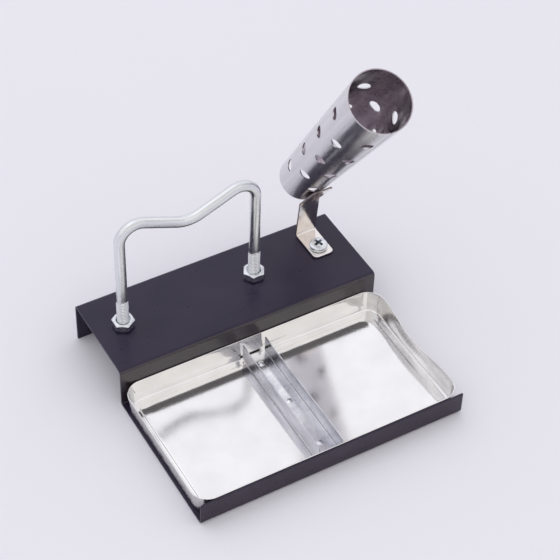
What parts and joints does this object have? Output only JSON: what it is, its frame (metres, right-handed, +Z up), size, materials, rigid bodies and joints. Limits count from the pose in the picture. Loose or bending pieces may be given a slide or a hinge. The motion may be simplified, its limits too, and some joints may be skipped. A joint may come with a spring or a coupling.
{
  "type": "soldering iron stand",
  "caption": "Bench stand for a soldering iron: folded black base, lift-out divided tray, bent wire rest and a perforated tube on a swivelling strap.",
  "frame": {"origin": "on the table, under the middle of the stand's bounding box", "axes": "+X along the long side to the user's right, +Y from the tray to the back, +Z up"},
  "size_m": [0.1404, 0.137, 0.1583],
  "materials": {
    "black_powder_coat": "satin powder coat",
    "tinplate": "mirror-bright tinplate",
    "zinc_plate": "bright zinc plating",
    "nickel_plate": "nickel plating",
    "bright_steel": "bright rolled steel"
  },
  "bodies": {
    "base": {"base_plate": "black_powder_coat", "upper_nut_left": "zinc_plate", "upper_nut_right": "zinc_plate", "lower_nut_left": "zinc_plate", "lower_nut_right": "zinc_plate", "bracket_screw": "zinc_plate", "bracket_lock_washer": "zinc_plate", "bracket_nut": "zinc_plate"},
    "tray": {"tray_pan": "tinplate", "tray_divider": "tinplate"},
    "rest": {"wire_rest": "zinc_plate"},
    "holder": {"holder_bracket": "nickel_plate", "holder_tube": "bright_steel", "tube_rivet_1": "nickel_plate", "tube_rivet_2": "nickel_plate"}
  },
  "joints": [
    {"name": "tray_lift", "type": "slide", "parent": "base", "child": "tray", "axis": [0, 0, 1], "range_m": [0, 0.06]},
    {"name": "rest_height", "type": "slide", "parent": "base", "child": "rest", "axis": [0, 0, 1], "range_m": [-0.008, 0.002]},
    {"name": "holder_swivel", "type": "hinge", "parent": "base", "child": "holder", "pos_m": [0.0538, 0.03996, 0.023], "axis": [0, 0, 1], "continuous": true}
  ]
}
